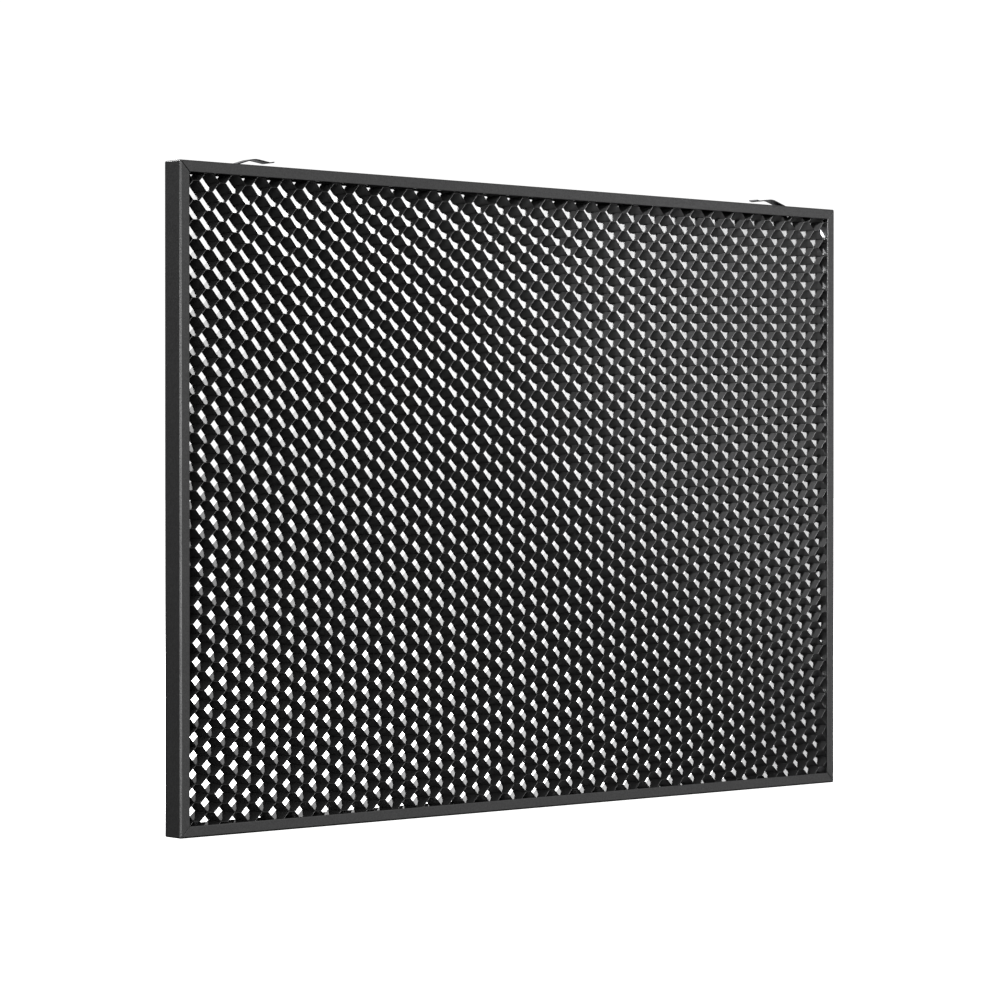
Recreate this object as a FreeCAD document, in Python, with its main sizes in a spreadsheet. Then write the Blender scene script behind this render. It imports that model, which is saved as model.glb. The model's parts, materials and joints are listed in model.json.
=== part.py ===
"""Honeycomb control grid for a panel light.

A mitred frame of black channel holds a core of bonded corrugated foil strips.
Two leaf-spring clips on the top rail grip the light's accessory slot.

Frame of the part: +X to the right, +Y to the rear (the side that faces the light), +Z up.
The origin is the centre of the bottom rail's underside, at mid-depth.
"""
import FreeCAD, Part
import Sketcher
import math
import os

V = FreeCAD.Vector
SHEET = "Dimensions"
MINIMUM_LENGTH = 1e-6

# Driving dimensions, in millimetres and degrees.
DIMENSIONS = {
    "frame_width": 430.0,
    "frame_height": 305.0,
    "frame_depth": 12.4,
    "wall_thickness": 1.2,
    "lip_width": 5.3,
    "edge_chamfer": 0.75,
    "key_leg": 15.0,
    "key_thickness": 1.0,
    "clip_inset": 35.6,
    "clip_width": 6.0,
    "strip_thickness": 0.5,
    "hinge_rise": 0.45,
    "hinge_gap": 0.1,
    "rise_angle": 17.0,
    "rise_length": 6.5,
    "crest_radius": 12.0,
    "drop_angle": 8.0,
    "drop_length": 6.0,
    "flick_radius": 4.0,
    "flick_angle": 12.0,
    "flick_length": 1.5,
    "foot_length": 12.0,
    "slot_length": 6.8,
    "slot_width": 6.8,
    "slot_offset": 3.2,
    "rivet_offset": 11.5,
    "rivet_radius": 1.2,
    "rivet_head_depth": 0.8,
    "rivet_tail_radius": 2.0,
    "rivet_tail_depth": 0.6,
    "strip_count": 69.0,
    "strips_per_group": 3.0,
    "strip_pitch": 4.33,
    "cell_pitch": 15.0,
    "bonded_flat": 3.7,
    "foil_thickness": 0.12,
    "adhesive_line": 0.02,
    "core_depth": 9.9,
    "core_side_gap": 2.4,
}


def make_sheet(doc):
    """Put the driving dimensions in a spreadsheet, one aliased cell each."""
    sheet = doc.addObject("Spreadsheet::Sheet", SHEET)
    for row, (alias, value) in enumerate(DIMENSIONS.items(), start=1):
        sheet.set(f"A{row}", alias)
        sheet.set(f"B{row}", str(value))
        sheet.setAlias(f"B{row}", alias)
    doc.recompute()
    return sheet


def cell(name):
    """The expression that reads one dimension from the sheet."""
    return f"{SHEET}.{name}"


def new_body(doc, label):
    body = doc.addObject("PartDesign::Body", label)
    body.Label = label
    return body


def origin_plane(body, role):
    """One of the body's own origin planes, found by its role."""
    for feature in body.Origin.OriginFeatures:
        if feature.Role == role:
            return feature
    raise ValueError(f"{body.Label} has no plane {role}")


def new_sketch(body, name, role):
    sketch = body.newObject("Sketcher::SketchObject", name)
    sketch.AttachmentSupport = [(origin_plane(body, role), "")]
    sketch.MapMode = "FlatFace"
    return sketch


def name_last(sketch, name, expression):
    """Name the constraint that was added last, and bind its value to the sheet."""
    sketch.renameConstraint(sketch.ConstraintCount - 1, name)
    sketch.setExpression(f"Constraints.{name}", expression)


def add_constraint(sketch, *parts):
    sketch.addConstraint(Sketcher.Constraint(*parts))


def pin_point(sketch, geo, point, name, x_value, x_expression, y_value, y_expression):
    """Hold one point of a sketch at a place measured from the sketch's origin."""
    add_constraint(sketch, "DistanceX", -1, 1, geo, point, x_value)
    name_last(sketch, f"{name}_x", x_expression)
    add_constraint(sketch, "DistanceY", -1, 1, geo, point, y_value)
    name_last(sketch, f"{name}_y", y_expression)


def add_polygon(sketch, corners):
    """A closed outline. Each corner is (x, x expression, y, y expression)."""
    count = len(corners)
    for index in range(count):
        start = corners[index]
        end = corners[(index + 1) % count]
        sketch.addGeometry(Part.LineSegment(V(start[0], start[2], 0), V(end[0], end[2], 0)), False)
    for index in range(count):
        add_constraint(sketch, "Coincident", index, 2, (index + 1) % count, 1)
    for index, corner in enumerate(corners):
        pin_point(sketch, index, 1, f"corner_{index + 1}", *corner)


def add_circle(sketch, x_value, x_expression, radius, radius_expression):
    """A circle centred on the sketch's horizontal axis."""
    sketch.addGeometry(Part.Circle(V(x_value, 0, 0), V(0, 0, 1), radius), False)
    pin_point(sketch, 0, 3, "centre", x_value, x_expression, 0.0, "0")
    add_constraint(sketch, "Radius", 0, radius)
    name_last(sketch, "radius", radius_expression)


def pad_symmetric(body, sketch, length_expression):
    pad = body.newObject("PartDesign::Pad", "Pad")
    pad.Profile = sketch
    pad.SideType = "Symmetric"
    pad.setExpression("Length", length_expression)
    sketch.Visibility = False
    return pad


def pocket_through(body, sketch, name):
    """Cut the sketch right through the solid, both ways."""
    pocket = body.newObject("PartDesign::Pocket", name)
    pocket.Profile = sketch
    pocket.SideType = "Symmetric"
    pocket.Type = "ThroughAll"
    return pocket


def check_removed(feature, before):
    """Stop if a cutting feature took nothing away."""
    if feature.Shape.Volume > before - MINIMUM_LENGTH:
        raise RuntimeError(f"{feature.Name} cut nothing")


# ---- frame rails ------------------------------------------------------------------------------

def rail_outline(sheet, sketch, length_name):
    """Front view of a rail: outer edge on the x axis, a 45 degree mitre at each end."""
    half = sheet.get(length_name) / 2
    half_text = f"{cell(length_name)} / 2"
    lip = sheet.lip_width
    lip_text = cell("lip_width")
    add_polygon(sketch, [
        (-half, f"-({half_text})", 0.0, "0"),
        (half, half_text, 0.0, "0"),
        (half - lip, f"{half_text} - {lip_text}", lip, lip_text),
        (lip - half, f"{lip_text} - {half_text}", lip, lip_text),
    ])


def outer_edge_names(shape, depth, limit):
    """Names of the edges along the outer face, at the front and the rear."""
    names = []
    for index, edge in enumerate(shape.Edges, start=1):
        points = [vertex.Point for vertex in edge.Vertexes]
        on_end = all(abs(abs(point.y) - depth / 2) < MINIMUM_LENGTH for point in points)
        same_side = points[0].y * points[-1].y > 0
        low = all(point.z < limit for point in points)
        if on_end and same_side and low:
            names.append(f"Edge{index}")
    return names


def make_rail(doc, sheet, label, length_name):
    """A rail lying on its outer face: a channel open to +Z, along X, mitred at both ends."""
    body = new_body(doc, label)
    outline = new_sketch(body, f"{label}_outline", "XZ_Plane")
    rail_outline(sheet, outline, length_name)
    pad = pad_symmetric(body, outline, cell("frame_depth"))
    doc.recompute()

    chamfer = body.newObject("PartDesign::Chamfer", f"{label}_edge_chamfers")
    edges = outer_edge_names(pad.Shape, sheet.frame_depth, sheet.edge_chamfer / 2)
    chamfer.Base = (pad, edges)
    chamfer.setExpression("Size", cell("edge_chamfer"))
    doc.recompute()

    before = chamfer.Shape.Volume
    channel = new_sketch(body, f"{label}_channel", "YZ_Plane")
    wall = sheet.wall_thickness
    inside = sheet.frame_depth / 2 - wall
    inside_text = f"{cell('frame_depth')} / 2 - {cell('wall_thickness')}"
    top = sheet.lip_width + 1
    top_text = f"{cell('lip_width')} + 1"
    add_polygon(channel, [
        (-inside, f"-({inside_text})", wall, cell("wall_thickness")),
        (inside, inside_text, wall, cell("wall_thickness")),
        (inside, inside_text, top, top_text),
        (-inside, f"-({inside_text})", top, top_text),
    ])
    pocket = pocket_through(body, channel, f"{label}_channel_cut")
    doc.recompute()
    check_removed(pocket, before)
    return body


def cut_clip_seat(doc, sheet, body, side):
    """A slot for the clip's strip, and a countersunk rivet hole, near one end of the top rail.

    side is +1 for the end at the rail's own +X and -1 for the other end.
    """
    word = "a" if side > 0 else "b"
    hinge = side * (sheet.frame_width / 2 - sheet.clip_inset)
    hinge_text = f"{side} * ({cell('frame_width')} / 2 - {cell('clip_inset')})"
    middle = hinge + side * sheet.slot_offset
    middle_text = f"{hinge_text} + {side} * {cell('slot_offset')}"
    half_length = f"{cell('slot_length')} / 2"
    half_width = f"{cell('slot_width')} / 2"
    low_x = middle - sheet.slot_length / 2
    high_x = middle + sheet.slot_length / 2
    wide = sheet.slot_width / 2
    before = body.Tip.Shape.Volume
    slot = new_sketch(body, f"slot_{word}", "XY_Plane")
    add_polygon(slot, [
        (low_x, f"{middle_text} - {half_length}", -wide, f"-({half_width})"),
        (high_x, f"{middle_text} + {half_length}", -wide, f"-({half_width})"),
        (high_x, f"{middle_text} + {half_length}", wide, half_width),
        (low_x, f"{middle_text} - {half_length}", wide, half_width),
    ])
    slot_cut = pocket_through(body, slot, f"slot_cut_{word}")
    doc.recompute()
    check_removed(slot_cut, before)

    before = slot_cut.Shape.Volume
    hole_x = hinge + side * sheet.rivet_offset
    hole = new_sketch(body, f"rivet_hole_{word}", "XY_Plane")
    add_circle(hole, hole_x, f"{hinge_text} + {side} * {cell('rivet_offset')}",
               sheet.rivet_radius, cell("rivet_radius"))
    hole_cut = pocket_through(body, hole, f"rivet_hole_cut_{word}")
    doc.recompute()
    check_removed(hole_cut, before)

    before = hole_cut.Shape.Volume
    sink = body.newObject("PartDesign::Chamfer", f"countersink_{word}")
    sink.Base = (hole_cut, [outer_circle_name(hole_cut.Shape, hole_x)])
    sink.setExpression("Size", cell("rivet_head_depth"))
    doc.recompute()
    check_removed(sink, before)


def outer_circle_name(shape, x_value):
    """Name of the circular edge on the outer face, centred at x_value."""
    for index, edge in enumerate(shape.Edges, start=1):
        curve = edge.Curve
        if isinstance(curve, Part.Circle):
            centre = curve.Center
            on_face = abs(centre.z) < MINIMUM_LENGTH and abs(centre.y) < MINIMUM_LENGTH
            if on_face and abs(centre.x - x_value) < MINIMUM_LENGTH:
                return f"Edge{index}"
    raise ValueError("no rivet hole on the outer face")


def place(body, turn, x_expression="0", z_expression="0"):
    """Turn a body about +Y by a number of degrees and move it to its place in the frame."""
    body.Placement = FreeCAD.Placement(V(0, 0, 0), FreeCAD.Rotation(V(0, 1, 0), turn))
    body.setExpression(".Placement.Base.x", x_expression)
    body.setExpression(".Placement.Base.z", z_expression)


def make_frame(doc, sheet):
    """The four mitred rails."""
    middle_z = f"{cell('frame_height')} / 2"
    side_x = f"{cell('frame_width')} / 2"
    bottom = make_rail(doc, sheet, "bottom_rail", "frame_width")
    place(bottom, 0)
    top = make_rail(doc, sheet, "top_rail", "frame_width")
    for side in (1, -1):
        cut_clip_seat(doc, sheet, top, side)
    place(top, 180, "0", cell("frame_height"))
    left = make_rail(doc, sheet, "left_rail", "frame_height")
    place(left, 90, f"-({side_x})", middle_z)
    right = make_rail(doc, sheet, "right_rail", "frame_height")
    place(right, -90, side_x, middle_z)
    return [bottom, top, left, right]


# ---- corner keys ------------------------------------------------------------------------------

def make_corner_key(doc, sheet, label, turn, x_expression, z_expression):
    """An angle that lies inside the channels of two rails and joins them at the mitre."""
    body = new_body(doc, label)
    outline = new_sketch(body, f"{label}_outline", "XZ_Plane")
    wall = sheet.wall_thickness
    leg = wall + sheet.key_leg
    inner = wall + sheet.key_thickness
    wall_text = cell("wall_thickness")
    leg_text = f"{cell('wall_thickness')} + {cell('key_leg')}"
    inner_text = f"{cell('wall_thickness')} + {cell('key_thickness')}"
    add_polygon(outline, [
        (wall, wall_text, wall, wall_text),
        (leg, leg_text, wall, wall_text),
        (leg, leg_text, inner, inner_text),
        (inner, inner_text, inner, inner_text),
        (inner, inner_text, leg, leg_text),
        (wall, wall_text, leg, leg_text),
    ])
    pad_symmetric(body, outline, f"{cell('frame_depth')} - 2 * {cell('wall_thickness')}")
    place(body, turn, x_expression, z_expression)
    return body


def make_corner_keys(doc, sheet):
    left_x = f"-({cell('frame_width')} / 2)"
    right_x = f"{cell('frame_width')} / 2"
    top_z = cell("frame_height")
    return [
        make_corner_key(doc, sheet, "corner_key_bottom_left", 0, left_x, "0"),
        make_corner_key(doc, sheet, "corner_key_top_left", 90, left_x, top_z),
        make_corner_key(doc, sheet, "corner_key_top_right", 180, right_x, top_z),
        make_corner_key(doc, sheet, "corner_key_bottom_right", -90, right_x, "0"),
    ]


# ---- spring clips -----------------------------------------------------------------------------

def leaf_path(sheet, sketch):
    """Side view of the leaf's middle line: a rise, a rounded crest, a fall and a turned-up tip."""
    rise = math.radians(sheet.rise_angle)
    drop = math.radians(sheet.drop_angle)
    flick = math.radians(sheet.flick_angle)
    up = V(math.cos(rise), math.sin(rise), 0)
    down = V(math.cos(drop), -math.sin(drop), 0)
    tip = V(math.cos(flick), math.sin(flick), 0)
    start = V(0, 0, 0)
    crest_start = start + up * sheet.rise_length
    crest_centre = crest_start + V(math.sin(rise), -math.cos(rise), 0) * sheet.crest_radius
    crest_end = crest_centre + V(math.sin(drop), math.cos(drop), 0) * sheet.crest_radius
    fall_end = crest_end + down * sheet.drop_length
    flick_centre = fall_end + V(math.sin(drop), math.cos(drop), 0) * sheet.flick_radius
    flick_end = flick_centre + V(math.sin(flick), -math.cos(flick), 0) * sheet.flick_radius
    tip_end = flick_end + tip * sheet.flick_length

    line_up = sketch.addGeometry(Part.LineSegment(start, crest_start), False)
    crest = Part.Circle(crest_centre, V(0, 0, 1), sheet.crest_radius)
    crest_arc = sketch.addGeometry(
        Part.ArcOfCircle(crest, math.pi / 2 - drop, math.pi / 2 + rise), False)
    line_down = sketch.addGeometry(Part.LineSegment(crest_end, fall_end), False)
    bend = Part.Circle(flick_centre, V(0, 0, 1), sheet.flick_radius)
    flick_arc = sketch.addGeometry(
        Part.ArcOfCircle(bend, -math.pi / 2 - drop, -math.pi / 2 + flick), False)
    line_tip = sketch.addGeometry(Part.LineSegment(flick_end, tip_end), False)

    add_constraint(sketch, "Coincident", line_up, 1, -1, 1)
    add_constraint(sketch, "Tangent", line_up, 2, crest_arc, 2)
    add_constraint(sketch, "Tangent", crest_arc, 1, line_down, 1)
    add_constraint(sketch, "Tangent", line_down, 2, flick_arc, 1)
    add_constraint(sketch, "Tangent", flick_arc, 2, line_tip, 1)
    bound_sizes = (
        ("Distance", line_up, sheet.rise_length, "rise_length"),
        ("Radius", crest_arc, sheet.crest_radius, "crest_radius"),
        ("Distance", line_down, sheet.drop_length, "drop_length"),
        ("Radius", flick_arc, sheet.flick_radius, "flick_radius"),
        ("Distance", line_tip, sheet.flick_length, "flick_length"),
    )
    for kind, geo, value, name in bound_sizes:
        add_constraint(sketch, kind, geo, value)
        name_last(sketch, name, cell(name))
    bound_angles = (
        (line_up, rise, "rise_angle", 1),
        (line_down, -drop, "drop_angle", -1),
        (line_tip, flick, "flick_angle", 1),
    )
    for geo, value, name, sign in bound_angles:
        add_constraint(sketch, "Angle", geo, value)
        name_last(sketch, name, f"{sign} * {cell(name)} * 1 deg")


def make_leaf(doc, sheet, label):
    """The free part of a clip's spring strip, from its hinge line to its tip, towards +X."""
    body = new_body(doc, label)
    path = new_sketch(body, f"{label}_path", "XZ_Plane")
    leaf_path(sheet, path)
    section = new_sketch(body, f"{label}_section", "YZ_Plane")
    wide = sheet.clip_width / 2
    slope = math.cos(math.radians(sheet.rise_angle))
    half = sheet.strip_thickness / 2 / slope
    wide_text = f"{cell('clip_width')} / 2"
    half_text = f"{cell('strip_thickness')} / 2 / cos({cell('rise_angle')} * 1 deg)"
    add_polygon(section, [
        (-wide, f"-({wide_text})", -half, f"-({half_text})"),
        (wide, wide_text, -half, f"-({half_text})"),
        (wide, wide_text, half, half_text),
        (-wide, f"-({wide_text})", half, half_text),
    ])
    pipe = body.newObject("PartDesign::AdditivePipe", f"{label}_strip")
    pipe.Profile = section
    pipe.Spine = (path, [])
    doc.recompute()
    return body


def make_foot(doc, sheet, label):
    """The riveted part of a clip's strip: flat under the rail's wall, then up through the slot.

    Its own origin is the hinge line, as the leaf's is, and it runs towards -X.
    """
    body = new_body(doc, label)
    angle = math.radians(sheet.rise_angle)
    half = sheet.strip_thickness / 2
    depth = sheet.hinge_rise + sheet.wall_thickness + half
    shift = half * math.tan(angle / 2)
    bend_x = -depth / math.tan(angle)
    end_x = -sheet.hinge_gap
    end_rise = end_x * math.tan(angle)
    lift = half / math.cos(angle)
    far_x = bend_x - sheet.foot_length
    angle_text = f"({cell('rise_angle')} * 1 deg)"
    half_text = f"({cell('strip_thickness')} / 2)"
    depth_text = f"({cell('hinge_rise')} + {cell('wall_thickness')} + {half_text})"
    shift_text = f"({half_text} * tan({angle_text} / 2))"
    bend_text = f"(-{depth_text} / tan({angle_text}))"
    end_text = f"(-{cell('hinge_gap')})"
    end_rise_text = f"({end_text} * tan({angle_text}))"
    lift_text = f"({half_text} / cos({angle_text}))"
    far_text = f"({bend_text} - {cell('foot_length')})"
    outline = new_sketch(body, f"{label}_outline", "XZ_Plane")
    add_polygon(outline, [
        (far_x, far_text, -depth - half, f"-{depth_text} - {half_text}"),
        (bend_x + shift, f"{bend_text} + {shift_text}", -depth - half, f"-{depth_text} - {half_text}"),
        (end_x, end_text, end_rise - lift, f"{end_rise_text} - {lift_text}"),
        (end_x, end_text, end_rise + lift, f"{end_rise_text} + {lift_text}"),
        (bend_x - shift, f"{bend_text} - {shift_text}", -depth + half, f"-{depth_text} + {half_text}"),
        (far_x, far_text, -depth + half, f"-{depth_text} + {half_text}"),
    ])
    pad = pad_symmetric(body, outline, cell("clip_width"))
    doc.recompute()
    before = pad.Shape.Volume
    hole = new_sketch(body, f"{label}_hole", "XY_Plane")
    add_circle(hole, -sheet.rivet_offset, f"-{cell('rivet_offset')}",
               sheet.rivet_radius, cell("rivet_radius"))
    cut = pocket_through(body, hole, f"{label}_hole_cut")
    doc.recompute()
    check_removed(cut, before)
    return body


def make_rivet(doc, sheet, label):
    """A countersunk rivet: head flush with the rail's outer face at z = 0, tail under the foot."""
    body = new_body(doc, label)
    radius = sheet.rivet_radius
    head = sheet.rivet_head_depth
    grip = sheet.wall_thickness + sheet.strip_thickness
    tail = grip + sheet.rivet_tail_depth
    radius_text = cell("rivet_radius")
    head_text = cell("rivet_head_depth")
    grip_text = f"({cell('wall_thickness')} + {cell('strip_thickness')})"
    tail_text = f"({grip_text} + {cell('rivet_tail_depth')})"
    profile = new_sketch(body, f"{label}_profile", "XZ_Plane")
    add_polygon(profile, [
        (0, "0", 0, "0"),
        (radius + head, f"{radius_text} + {head_text}", 0, "0"),
        (radius, radius_text, -head, f"-{head_text}"),
        (radius, radius_text, -grip, f"-{grip_text}"),
        (sheet.rivet_tail_radius, cell("rivet_tail_radius"), -grip, f"-{grip_text}"),
        (sheet.rivet_tail_radius, cell("rivet_tail_radius"), -tail, f"-{tail_text}"),
        (0, "0", -tail, f"-{tail_text}"),
    ])
    turned = body.newObject("PartDesign::Revolution", f"{label}_turned")
    turned.Profile = profile
    turned.ReferenceAxis = (profile, ["V_Axis"])
    turned.Angle = 360
    doc.recompute()
    return body


def place_clip_piece(body, side, along_expression, up_expression):
    """Put a clip piece on the top rail. side is -1 for the left clip and +1 for the right one."""
    if side > 0:
        body.Placement = FreeCAD.Placement(V(0, 0, 0), FreeCAD.Rotation(V(0, 0, 1), 180))
    centre = f"{side} * ({cell('frame_width')} / 2 - {cell('clip_inset')}{along_expression})"
    body.setExpression(".Placement.Base.x", centre)
    body.setExpression(".Placement.Base.z", f"{cell('frame_height')}{up_expression}")


def make_clips(doc, sheet):
    """Both spring clips: each has a foot, a leaf and a rivet."""
    pieces = []
    for side, word in ((-1, "left"), (1, "right")):
        foot = make_foot(doc, sheet, f"{word}_clip_foot")
        leaf = make_leaf(doc, sheet, f"{word}_clip_leaf")
        rivet = make_rivet(doc, sheet, f"{word}_clip_rivet")
        for piece in (foot, leaf):
            place_clip_piece(piece, side, "", f" + {cell('hinge_rise')}")
        place_clip_piece(rivet, side, f" + {cell('rivet_offset')}", "")
        pieces += [foot, leaf, rivet]
    return pieces


# ---- honeycomb core ---------------------------------------------------------------------------

def fold_line(sheet, left, right, phase, height):
    """The middle line of one corrugated strip between left and right, centred on z = 0.

    One wave is a flat at the bottom, a slanted wall, a flat at the top and a slanted wall.
    """
    wave = sheet.cell_pitch
    flat = sheet.bonded_flat
    first = math.floor((left - phase) / wave) - 1
    last = math.ceil((right - phase) / wave) + 1
    corners = []
    for number in range(first, last + 1):
        middle = phase + number * wave
        corners.append((middle - flat / 2, -height / 2))
        corners.append((middle + flat / 2, -height / 2))
        corners.append((middle + wave / 2 - flat / 2, height / 2))
        corners.append((middle + wave / 2 + flat / 2, height / 2))
    line = []
    for start, end in zip(corners[:-1], corners[1:]):
        if end[0] <= left or start[0] >= right:
            continue
        if not line:
            line.append(point_at(start, end, max(left, start[0])))
        line.append(point_at(start, end, min(right, end[0])))
    return line


def point_at(start, end, x_value):
    """The point of the straight line from start to end at x_value."""
    share = (x_value - start[0]) / (end[0] - start[0])
    return (x_value, start[1] + share * (end[1] - start[1]))


def thicken(line, thickness):
    """Offset a fold line to both sides by half the foil, and return the closed outline."""
    upper = []
    lower = []
    for index, (x_value, z_value) in enumerate(line):
        normals = []
        if index > 0:
            normals.append(unit_normal(line[index - 1], line[index]))
        if index < len(line) - 1:
            normals.append(unit_normal(line[index], line[index + 1]))
        if len(normals) == 1:
            shift = (0.0, 1 / normals[0][1])
        else:
            sum_x = normals[0][0] + normals[1][0]
            sum_z = normals[0][1] + normals[1][1]
            scale = 2 / (sum_x ** 2 + sum_z ** 2)
            shift = (sum_x * scale, sum_z * scale)
        upper.append((x_value + shift[0] * thickness / 2, z_value + shift[1] * thickness / 2))
        lower.append((x_value - shift[0] * thickness / 2, z_value - shift[1] * thickness / 2))
    return upper + lower[::-1]


def unit_normal(start, end):
    run = end[0] - start[0]
    climb = end[1] - start[1]
    length = math.hypot(run, climb)
    return (-climb / length, run / length)


def strip_solid(sheet, number):
    """One foil strip of the core. Odd and even strips are half a wave apart, so cells form."""
    half_width = sheet.frame_width / 2 - sheet.core_side_gap
    pitch = sheet.strip_pitch
    wave_height = pitch - sheet.foil_thickness - sheet.adhesive_line
    phase = 0.0 if number % 2 == 0 else sheet.cell_pitch / 2
    line = fold_line(sheet, -half_width, half_width, phase, wave_height)
    core_bottom = (sheet.frame_height - sheet.strip_count * pitch) / 2
    middle_z = core_bottom + (number + 0.5) * pitch
    front = -sheet.core_depth / 2
    corners = [V(x_value, front, middle_z + z_value)
               for x_value, z_value in thicken(line, sheet.foil_thickness)]
    face = Part.Face(Part.makePolygon(corners + corners[:1]))
    return face.extrude(V(0, sheet.core_depth, 0))


def make_core(doc, sheet):
    """The bonded foil strips, from the bottom up, in groups of neighbouring strips."""
    groups = []
    per_group = int(sheet.strips_per_group)
    for first in range(0, int(sheet.strip_count), per_group):
        label = f"honeycomb_strips_{first // per_group + 1:02d}"
        solids = [strip_solid(sheet, number) for number in range(first, first + per_group)]
        group = doc.addObject("Part::Feature", label)
        group.Label = label
        group.Shape = Part.makeCompound(solids)
        group.Placement = FreeCAD.Placement()
        groups.append(group)
    return groups


# ---- checks and files -------------------------------------------------------------------------

def check_document(doc, pieces):
    """Stop if any object failed or any piece has no valid solid."""
    for item in doc.Objects:
        if "Invalid" in item.State or "Error" in item.State:
            raise RuntimeError(f"{item.Name} failed: {item.State}")
    for piece in pieces:
        if piece.Shape.isNull() or not piece.Shape.isValid() or piece.Shape.Volume <= 0:
            raise RuntimeError(f"{piece.Label} has no valid shape")


def write_pieces(pieces):
    os.makedirs("parts", exist_ok=True)
    for piece in pieces:
        piece.Shape.exportStep(os.path.join("parts", f"{piece.Label}.step"))


def main():
    doc = FreeCAD.newDocument("HoneycombGrid")
    sheet = make_sheet(doc)
    pieces = make_frame(doc, sheet)
    pieces += make_corner_keys(doc, sheet)
    pieces += make_clips(doc, sheet)
    pieces += make_core(doc, sheet)
    doc.recompute()
    check_document(doc, pieces)
    write_pieces(pieces)
    return pieces


main()
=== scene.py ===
"""Looks of the honeycomb light grid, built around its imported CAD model."""
import json
import math

import bpy
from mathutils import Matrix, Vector, noise


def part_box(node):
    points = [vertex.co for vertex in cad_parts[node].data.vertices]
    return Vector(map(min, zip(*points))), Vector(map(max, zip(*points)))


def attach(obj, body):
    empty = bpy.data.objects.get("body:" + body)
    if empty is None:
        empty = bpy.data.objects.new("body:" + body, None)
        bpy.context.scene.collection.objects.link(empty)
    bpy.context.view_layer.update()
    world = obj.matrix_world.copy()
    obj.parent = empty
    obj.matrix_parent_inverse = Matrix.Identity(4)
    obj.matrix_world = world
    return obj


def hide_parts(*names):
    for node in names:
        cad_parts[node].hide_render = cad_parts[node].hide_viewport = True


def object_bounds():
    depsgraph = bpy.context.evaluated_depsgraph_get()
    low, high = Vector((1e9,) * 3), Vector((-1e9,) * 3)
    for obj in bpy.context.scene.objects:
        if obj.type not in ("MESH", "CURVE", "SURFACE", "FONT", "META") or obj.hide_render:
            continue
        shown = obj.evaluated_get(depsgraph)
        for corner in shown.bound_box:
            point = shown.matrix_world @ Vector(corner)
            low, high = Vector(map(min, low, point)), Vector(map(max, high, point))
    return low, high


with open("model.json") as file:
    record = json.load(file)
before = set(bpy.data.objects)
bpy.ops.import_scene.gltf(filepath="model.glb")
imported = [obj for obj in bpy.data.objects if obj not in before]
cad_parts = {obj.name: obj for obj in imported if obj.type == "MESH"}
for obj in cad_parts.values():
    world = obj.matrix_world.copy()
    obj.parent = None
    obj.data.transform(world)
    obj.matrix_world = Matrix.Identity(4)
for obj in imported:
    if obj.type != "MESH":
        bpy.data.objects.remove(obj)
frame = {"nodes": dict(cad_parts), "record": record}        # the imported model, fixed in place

MM = 0.001
CAD_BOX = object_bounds()

# Honeycomb: the folded strips. Each CAD node holds three of them.
STRIP_NODES = sorted(name for name in frame["nodes"] if name.startswith("honeycomb_strips_"))
STRIPS_PER_NODE = 3
STRIP_COUNT = len(STRIP_NODES) * STRIPS_PER_NODE
STRIPS_BELOW = 2
STRIP_PITCH = 4.33 * MM
CELL_PITCH = 15.06 * MM
SPARE_WAVES = 3
BONDED_FLAT = 3.7 * MM
FOIL = 0.12 * MM
BEND_RUN = 0.3 * MM
CORE_MARGIN = 0.7 * MM

# Honeycomb: how the real core differs from the even one, after it was pulled open and framed.
ROW_OFFSET = 1.5 * MM
ROW_SAG = 4.6 * MM
ROW_CROWDING = 0.028
ROW_SPREAD = 6.0 * MM
ROW_SPREAD_LOSS = 20.0 * MM
ROW_SPREAD_PEAK = 0.1
COLUMN_OFFSET = 2.7 * MM
COLUMN_LEAN = 2.4 * MM
COLUMN_BOW = 2.5 * MM
COLUMN_WAIST = 0.006
COLUMN_FAN = 0.0466
COLUMN_FLARE = 0.05
WANDER = 0.22 * MM
WANDER_SCALE = 38.0
FOIL_SEED = 7

# Honeycomb: the foil from front to rear, and its cut edges.
DEPTH_ROWS = (0.0, 0.3, 0.7, 1.0)
FOIL_RIPPLE = 0.07 * MM
FOIL_RIPPLE_SCALE = 260.0
EDGE_NIBBLE = 0.06 * MM
# Walls rising steeper than this slope get the bright cut-edge colour: bare metal, brightened as a
# painted highlight for the light their edges catch.
HIGHLIGHT_EDGE_SLOPE = 0.6

# Frame: the softened edges of the coated rails.
COATED_EDGE = 0.45 * MM
EDGE_SEGMENTS = 2
WELD_GAP = 0.001 * MM
SHARP_ANGLE = math.radians(50)

# Materials: the part of a noise's range that the colours and roughnesses are spread over.
NOISE_LOW = 0.3
NOISE_HIGH = 0.7

# Camera: level, in front of the grid and to its left.
CAMERA_YAW = math.radians(41.6)
CAMERA_PITCH = math.radians(-0.355)
CAMERA_PLACE = (-1.117, -1.238, 0.1616)
CAMERA_LENS = 122.0
CAMERA_SENSOR = 36.0

# World: dim, with wide glows. Each has a direction, its cosine at the rim and at full, its strength.
WORLD_BASE = 0.02
BACKDROP_GLOW = ((0.664, 0.748, 0.0), 0.90, 0.97, 1.3)
FRONT_RIGHT_GLOW = ((0.75, -0.66, 0.20), 0.45, 0.95, 0.52)
FRONT_TOP_GLOW = ((-0.25, -0.5, 0.82), 0.30, 1.0, 0.8)
CAMERA_SIDE_GLOW = ((-0.78, -0.62, 0.10), 0.955, 0.985, 4.0)
REAR_LEFT_GLOW = ((-0.62, 0.74, 0.28), 0.80, 0.98, 0.22)
WORLD_GLOWS = (BACKDROP_GLOW, FRONT_RIGHT_GLOW, FRONT_TOP_GLOW, CAMERA_SIDE_GLOW, REAR_LEFT_GLOW)

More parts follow.
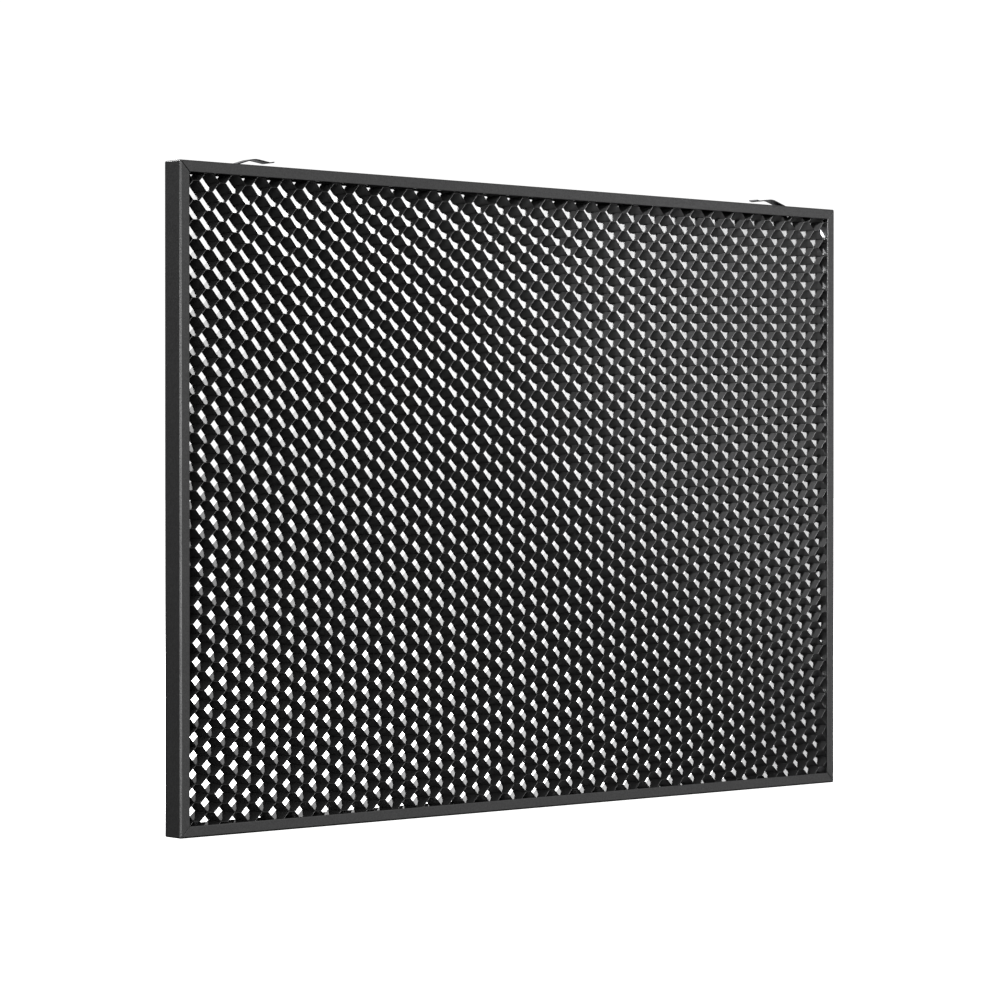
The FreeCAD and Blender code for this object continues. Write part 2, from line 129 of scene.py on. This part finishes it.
# Lamps: a compact one behind the grid, and a narrow beam from the front left.
LAMP_PLACE = (-0.27, 0.48, 0.82)
LAMP_AIM = (0.73, 0.45, 0.87)
LAMP_SIZE = 0.07
LAMP_POWER = 135.0
BEAM_PLACE = (-1.1, -0.7, 0.75)
BEAM_AIM = (0.32, 0.0, 0.16)
BEAM_ANGLE = math.radians(14.0)
BEAM_SOURCE = 0.03
BEAM_POWER = 160.0

# Floor.
FLOOR_SIZE = 40.0
FLOOR_WHITE = (0.92, 0.92, 0.92, 1.0)
FLOOR_GLOW = (1.0, 1.0, 1.0, 1.0)


# ---- node helpers -----------------------------------------------------------------------------

def new_material(name):
    """A material with an empty tree, its Principled shader and its output."""
    material = bpy.data.materials.new(name)
    material.use_nodes = True
    tree = material.node_tree
    tree.nodes.clear()
    output = tree.nodes.new("ShaderNodeOutputMaterial")
    shader = tree.nodes.new("ShaderNodeBsdfPrincipled")
    tree.links.new(shader.outputs["BSDF"], output.inputs["Surface"])
    return material, tree, shader


def object_noise(tree, scale, detail=2.0, stretch=(1.0, 1.0, 1.0)):
    """Noise over the object's own coordinates, which the piece carries with it."""
    place = tree.nodes.new("ShaderNodeTexCoord")
    mapping = tree.nodes.new("ShaderNodeMapping")
    mapping.inputs["Scale"].default_value = stretch
    texture = tree.nodes.new("ShaderNodeTexNoise")
    texture.inputs["Scale"].default_value = scale
    texture.inputs["Detail"].default_value = detail
    tree.links.new(place.outputs["Object"], mapping.inputs["Vector"])
    tree.links.new(mapping.outputs["Vector"], texture.inputs["Vector"])
    return texture.outputs["Fac"]


def spread(tree, value, low, high):
    """Map the middle of a noise's range onto low to high."""
    node = tree.nodes.new("ShaderNodeMapRange")
    node.inputs["From Min"].default_value = NOISE_LOW
    node.inputs["From Max"].default_value = NOISE_HIGH
    node.inputs["To Min"].default_value = low
    node.inputs["To Max"].default_value = high
    tree.links.new(value, node.inputs["Value"])
    return node.outputs["Result"]


def two_tone(tree, value, first, second):
    """A colour that runs from first to second over the middle of a noise's range."""
    ramp = tree.nodes.new("ShaderNodeValToRGB")
    ramp.color_ramp.elements[0].position = NOISE_LOW
    ramp.color_ramp.elements[0].color = (*first, 1.0)
    ramp.color_ramp.elements[1].position = NOISE_HIGH
    ramp.color_ramp.elements[1].color = (*second, 1.0)
    tree.links.new(value, ramp.inputs["Fac"])
    return ramp.outputs["Color"]


def add_bump(tree, shader, height, strength, distance):
    """Give a shader fine relief from a noise."""
    bump = tree.nodes.new("ShaderNodeBump")
    bump.inputs["Strength"].default_value = strength
    bump.inputs["Distance"].default_value = distance
    tree.links.new(height, bump.inputs["Height"])
    tree.links.new(bump.outputs["Normal"], shader.inputs["Normal"])


# ---- materials --------------------------------------------------------------------------------

def frame_coating():
    """Satin black powder coat, with a fine sprayed grain."""
    material, tree, shader = new_material("frame_coating")
    speck = object_noise(tree, 1700.0, 2.0)
    colour = two_tone(tree, speck, (0.008, 0.008, 0.009), (0.052, 0.052, 0.053))
    tree.links.new(colour, shader.inputs["Base Color"])
    tree.links.new(spread(tree, object_noise(tree, 45.0, 4.0), 0.28, 0.36), shader.inputs["Roughness"])
    shader.inputs["IOR"].default_value = 2.0
    add_bump(tree, shader, speck, 0.9, 0.0001)
    return material


def black_foil():
    """Matte black foil, a little uneven where it was stretched."""
    material, tree, shader = new_material("black_foil")
    cloud = object_noise(tree, 160.0, 3.0)
    colour = two_tone(tree, cloud, (0.048, 0.048, 0.0485), (0.060, 0.060, 0.0605))
    tree.links.new(colour, shader.inputs["Base Color"])
    tree.links.new(spread(tree, cloud, 0.44, 0.52), shader.inputs["Roughness"])
    shader.inputs["Specular IOR Level"].default_value = 0.3
    return material


def foil_edge_bare_and_highlight():
    """The sheared front and rear edges of the rising walls: bare metal, made brighter still as a
    painted highlight for the light that only these edges catch.
    """
    material, tree, shader = new_material("foil_edge_bare_and_highlight")
    speck = object_noise(tree, 1500.0, 2.0)
    colour = two_tone(tree, speck, (0.42, 0.42, 0.425), (0.62, 0.62, 0.625))
    tree.links.new(colour, shader.inputs["Base Color"])
    tree.links.new(spread(tree, speck, 0.3, 0.5), shader.inputs["Roughness"])
    return material


def spring_steel():
    """Blued spring strip, nearly black, with a drawn grain along its length."""
    material, tree, shader = new_material("spring_steel")
    grain = object_noise(tree, 700.0, 3.0, (0.1, 1.0, 0.1))
    colour = two_tone(tree, grain, (0.010, 0.010, 0.011), (0.022, 0.022, 0.024))
    tree.links.new(colour, shader.inputs["Base Color"])
    tree.links.new(spread(tree, grain, 0.38, 0.50), shader.inputs["Roughness"])
    shader.inputs["Specular IOR Level"].default_value = 0.4
    add_bump(tree, shader, grain, 0.2, 0.00002)
    return material


def key_steel():
    """Plain zinc-plated pressed steel."""
    material, tree, shader = new_material("key_steel")
    cloud = object_noise(tree, 350.0, 4.0)
    colour = two_tone(tree, cloud, (0.40, 0.41, 0.43), (0.52, 0.52, 0.53))
    tree.links.new(colour, shader.inputs["Base Color"])
    tree.links.new(spread(tree, cloud, 0.32, 0.48), shader.inputs["Roughness"])
    shader.inputs["Metallic"].default_value = 1.0
    add_bump(tree, shader, cloud, 0.15, 0.00003)
    return material


# ---- honeycomb --------------------------------------------------------------------------------

def rounded_fold(first_wave, last_wave, phase, height):
    """The folded middle line of a strip, with a short bend in place of each sharp corner."""
    corners = []
    for number in range(first_wave, last_wave + 1):
        middle = phase + number * CELL_PITCH
        corners.append((middle - BONDED_FLAT / 2, -height / 2))
        corners.append((middle + BONDED_FLAT / 2, -height / 2))
        corners.append((middle + CELL_PITCH / 2 - BONDED_FLAT / 2, height / 2))
        corners.append((middle + CELL_PITCH / 2 + BONDED_FLAT / 2, height / 2))
    points = []
    for before, corner, after in zip(corners[:-2], corners[1:-1], corners[2:]):
        corner = Vector(corner)
        into = (corner - Vector(before)).normalized()
        out = (Vector(after) - corner).normalized()
        start = corner - into * BEND_RUN
        end = corner + out * BEND_RUN
        points.append(start)
        points.append((start + 2 * corner + end) / 4)
        points.append(end)
    return points


def settled(point, centre, size):
    """Where a point of the even core lies in the real one.

    The rows sag and spread unevenly, and the columns lean, bow and fan out.
    """
    across = (point.x - centre.x) / size.x
    up = (point.y - centre.z) / size.z
    lean = COLUMN_OFFSET - COLUMN_LEAN * up + COLUMN_BOW * up ** 2
    width = 1 - COLUMN_WAIST - COLUMN_FAN * up + COLUMN_FLARE * up ** 2
    x_value = centre.x + lean + (point.x - centre.x) * width
    sag = ROW_OFFSET + ROW_SAG * 4 * across ** 2 + ROW_CROWDING * size.z * up ** 2
    row_spread = ROW_SPREAD - ROW_SPREAD_LOSS * (across - ROW_SPREAD_PEAK) ** 2
    z_value = point.y + sag + row_spread * up
    wander = noise.noise_vector(Vector((point.x, 0.0, point.y)) * WANDER_SCALE)
    return Vector((x_value + wander.x * WANDER, z_value + wander.z * WANDER))


def crossing(inside, outside, low, high):
    """The point where the line from inside to outside leaves the rectangle from low to high."""
    share = 1.0
    for axis in (0, 1):
        step = outside[axis] - inside[axis]
        for bound in (low[axis], high[axis]):
            if (outside[axis] - bound) * (inside[axis] - bound) < 0:
                share = min(share, (bound - inside[axis]) / step)
    return inside + (outside - inside) * share


def runs_within(points, low, high):
    """Cut a line at a rectangle's edges, and return the stretches that lie inside it."""
    def inside(point):
        return low[0] <= point[0] <= high[0] and low[1] <= point[1] <= high[1]

    runs = []
    current = []
    for start, end in zip(points[:-1], points[1:]):
        if inside(start) and inside(end):
            current = current or [start]
            current.append(end)
        elif inside(start):
            current = current or [start]
            current.append(crossing(start, end, low, high))
            runs.append(current)
            current = []
        elif inside(end):
            current = [crossing(end, start, low, high), end]
    if current:
        runs.append(current)
    return [run for run in runs if len(run) > 2]


def line_normals(run):
    """The unit normal of the line at each of its points."""
    normals = []
    for index in range(len(run)):
        before = run[max(index - 1, 0)]
        after = run[min(index + 1, len(run) - 1)]
        along = (after - before).normalized()
        normals.append(Vector((-along.y, along.x)))
    return normals


def foil_vertex(point, normal, side, row, front, rear):
    """A point on one side of the foil, at a share of its depth, with the foil's small ripples."""
    y_value = front + (rear - front) * row
    ripple = noise.noise_vector(Vector((point.x, y_value, point.y)) * FOIL_RIPPLE_SCALE)
    if row == DEPTH_ROWS[0]:
        y_value += abs(ripple.y) * EDGE_NIBBLE
    elif row == DEPTH_ROWS[-1]:
        y_value -= abs(ripple.y) * EDGE_NIBBLE
    shift = normal * (side * FOIL / 2 + ripple.x * FOIL_RIPPLE * (row - 0.5))
    return (point.x + shift.x, y_value, point.y + shift.y)


def add_run(run, front, rear, vertices, faces, highlight_edge_faces):
    """Add one folded stretch of foil to the lists that make a mesh.

    Each point of the line gives a ring of vertices: one side front to rear, the other side back.
    """
    base = len(vertices)
    columns = len(DEPTH_ROWS)
    ring = 2 * columns
    for point, normal in zip(run, line_normals(run)):
        for row in DEPTH_ROWS:
            vertices.append(foil_vertex(point, normal, 1, row, front, rear))
        for row in DEPTH_ROWS[::-1]:
            vertices.append(foil_vertex(point, normal, -1, row, front, rear))
    for index in range(len(run) - 1):
        along = run[index + 1] - run[index]
        # Cut edges of rising walls take the bright edge material: bare metal with a painted highlight.
        is_rising = along.x * along.y > 0 and abs(along.y) > HIGHLIGHT_EDGE_SLOPE * abs(along.x)
        for slot in range(ring):
            first = base + index * ring + slot
            second = base + index * ring + (slot + 1) % ring
            faces.append((first, second, second + ring, first + ring))
            highlight_edge_faces.append(is_rising and slot in (columns - 1, ring - 1))
    last = base + (len(run) - 1) * ring
    faces.append(tuple(base + slot for slot in range(ring))[::-1])
    faces.append(tuple(last + slot for slot in range(ring)))
    highlight_edge_faces.extend((False, False))


def make_strips(name, numbers, centre, size, materials):
    """One mesh with the foil strips of these numbers, counted from the bottom of the core."""
    vertices = []
    faces = []
    highlight_edge_faces = []
    low = (centre.x - size.x / 2, centre.z - size.z / 2 - CORE_MARGIN)
    high = (centre.x + size.x / 2, centre.z + size.z / 2 + CORE_MARGIN)
    front = centre.y - size.y / 2
    rear = centre.y + size.y / 2
    waves = int(size.x / CELL_PITCH / 2) + SPARE_WAVES
    height = STRIP_PITCH - FOIL
    for number in numbers:
        phase = centre.x + (0.0 if number % 2 == 0 else CELL_PITCH / 2)
        middle = centre.z + (number - (STRIP_COUNT - 1) / 2) * STRIP_PITCH
        fold = rounded_fold(-waves, waves, phase, height)
        line = [settled(Vector((point.x, middle + point.y)), centre, size) for point in fold]
        for run in runs_within(line, low, high):
            add_run(run, front, rear, vertices, faces, highlight_edge_faces)
    mesh = bpy.data.meshes.new(name)
    mesh.from_pydata(vertices, [], faces)
    for material in materials:
        mesh.materials.append(material)
    for polygon, is_highlight_edge in zip(mesh.polygons, highlight_edge_faces):
        polygon.use_smooth = True
        # Index 1 is the bright cut-edge material, a painted highlight on bare metal.
        polygon.material_index = 1 if is_highlight_edge else 0
    mesh.set_sharp_from_angle(angle=SHARP_ANGLE)
    mesh.validate()
    piece = bpy.data.objects.new(name, mesh)
    bpy.context.collection.objects.link(piece)
    return piece


def make_core():
    """The whole core: one piece for each node.

    The sag leaves room for more strips under the first at the sides, cut by the frame.
    """
    noise.seed_set(FOIL_SEED)
    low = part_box(STRIP_NODES[0])[0]
    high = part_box(STRIP_NODES[-1])[1]
    centre = (Vector(low) + Vector(high)) / 2
    size = Vector(high) - Vector(low)
    materials = (black_foil(), foil_edge_bare_and_highlight())
    for index, node in enumerate(STRIP_NODES):
        first = index * STRIPS_PER_NODE
        numbers = list(range(first, first + STRIPS_PER_NODE))
        if index == 0:
            numbers = [*range(-STRIPS_BELOW, 0), *numbers]
        piece = make_strips(f"foil_{node}", numbers, centre, size, materials)
        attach(piece, "grid")
        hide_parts(node)


# ---- frame, keys and clips --------------------------------------------------------------------

def give_material(node, material):
    """Give a CAD node one material all over."""
    mesh = frame["nodes"][node].data
    mesh.materials.clear()
    mesh.materials.append(material)


def soften_edges(node, width):
    """Join the faces of a CAD node and put a small bevel on its sharp edges."""
    piece = frame["nodes"][node]
    weld = piece.modifiers.new("edge_weld", "WELD")
    weld.merge_threshold = WELD_GAP
    bevel = piece.modifiers.new("edge_bevel", "BEVEL")
    bevel.width = width
    bevel.segments = EDGE_SEGMENTS
    bevel.limit_method = "ANGLE"
    bevel.angle_limit = SHARP_ANGLE
    bevel.harden_normals = True


def dress_cad_nodes():
    """Give the rails, keys, clips and rivets their materials, and soften the rails' edges."""
    materials = {
        "frame_coating": frame_coating(),
        "key_steel": key_steel(),
        "spring_steel": spring_steel(),
    }
    materials["rivet_coating"] = materials["frame_coating"]
    for row in frame["record"]["subparts"]:
        slot = row["material_slot"]
        if slot in materials:
            give_material(row["node"], materials[slot])
        if slot == "frame_coating":
            soften_edges(row["node"], COATED_EDGE)


# ---- stage ------------------------------------------------------------------------------------

def make_floor():
    """A wide, plain, pale floor just under the grid, which throws no light back at it."""
    bpy.ops.mesh.primitive_plane_add(size=FLOOR_SIZE, location=(0.0, 0.0, CAD_BOX[0][2]))
    floor = bpy.context.object
    floor.name = "floor"
    material, _, shader = new_material("floor_white")
    shader.inputs["Base Color"].default_value = FLOOR_WHITE
    shader.inputs["Roughness"].default_value = 0.9
    shader.inputs["Emission Color"].default_value = FLOOR_GLOW
    shader.inputs["Emission Strength"].default_value = 1.0
    floor.data.materials.append(material)
    floor.visible_diffuse = False
    floor.visible_glossy = False


def add_glow(tree, total, direction, start, end, strength):
    """Add a soft patch of light around a direction to the running total of the world."""
    place = tree.nodes.new("ShaderNodeTexCoord")
    facing = tree.nodes.new("ShaderNodeVectorMath")
    facing.operation = "DOT_PRODUCT"
    facing.inputs[1].default_value = Vector(direction).normalized()
    patch = tree.nodes.new("ShaderNodeMapRange")
    patch.inputs["From Min"].default_value = start
    patch.inputs["From Max"].default_value = end
    patch.inputs["To Min"].default_value = 0.0
    patch.inputs["To Max"].default_value = strength
    add = tree.nodes.new("ShaderNodeMath")
    add.operation = "ADD"
    tree.links.new(place.outputs["Generated"], facing.inputs[0])
    tree.links.new(facing.outputs["Value"], patch.inputs["Value"])
    tree.links.new(patch.outputs["Result"], add.inputs[0])
    tree.links.new(total, add.inputs[1])
    return add.outputs["Value"]


def make_world():
    """Soft white studio light: dim all round, with a few wide bright patches."""
    world = bpy.data.worlds.new("studio")
    bpy.context.scene.world = world
    world.use_nodes = True
    tree = world.node_tree
    tree.nodes.clear()
    output = tree.nodes.new("ShaderNodeOutputWorld")
    background = tree.nodes.new("ShaderNodeBackground")
    base = tree.nodes.new("ShaderNodeValue")
    base.outputs["Value"].default_value = WORLD_BASE
    total = base.outputs["Value"]
    for direction, start, end, strength in WORLD_GLOWS:
        total = add_glow(tree, total, direction, start, end, strength)
    tree.links.new(total, background.inputs["Strength"])
    tree.links.new(background.outputs["Background"], output.inputs["Surface"])


def place_light(data, place, aim):
    """Put a light in the scene, turned towards a point."""
    light = bpy.data.objects.new(data.name, data)
    light.location = place
    light.rotation_euler = (Vector(aim) - Vector(place)).to_track_quat("-Z", "Y").to_euler()
    bpy.context.collection.objects.link(light)


def make_lamps():
    """A compact lamp above and behind the grid, and a soft narrow beam onto its right end."""
    lamp = bpy.data.lights.new("back_lamp", "AREA")
    lamp.shape = "DISK"
    lamp.size = LAMP_SIZE
    lamp.energy = LAMP_POWER
    place_light(lamp, LAMP_PLACE, LAMP_AIM)

    beam = bpy.data.lights.new("front_beam", "SPOT")
    beam.spot_size = BEAM_ANGLE
    beam.spot_blend = 1.0
    beam.shadow_soft_size = BEAM_SOURCE
    beam.energy = BEAM_POWER
    place_light(beam, BEAM_PLACE, BEAM_AIM)


def make_camera():
    """The camera, level but for a hair, in front of the grid and to its left."""
    data = bpy.data.cameras.new("camera")
    data.lens = CAMERA_LENS
    data.sensor_width = CAMERA_SENSOR
    camera = bpy.data.objects.new("camera", data)
    camera.location = CAMERA_PLACE
    camera.rotation_euler = (math.pi / 2 + CAMERA_PITCH, 0.0, -CAMERA_YAW)
    bpy.context.collection.objects.link(camera)
    bpy.context.scene.camera = camera


# ---- the scene --------------------------------------------------------------------------------

bpy.context.scene.view_settings.view_transform = "Standard"
make_camera()
make_world()
make_lamps()
make_floor()
make_core()
dress_cad_nodes()
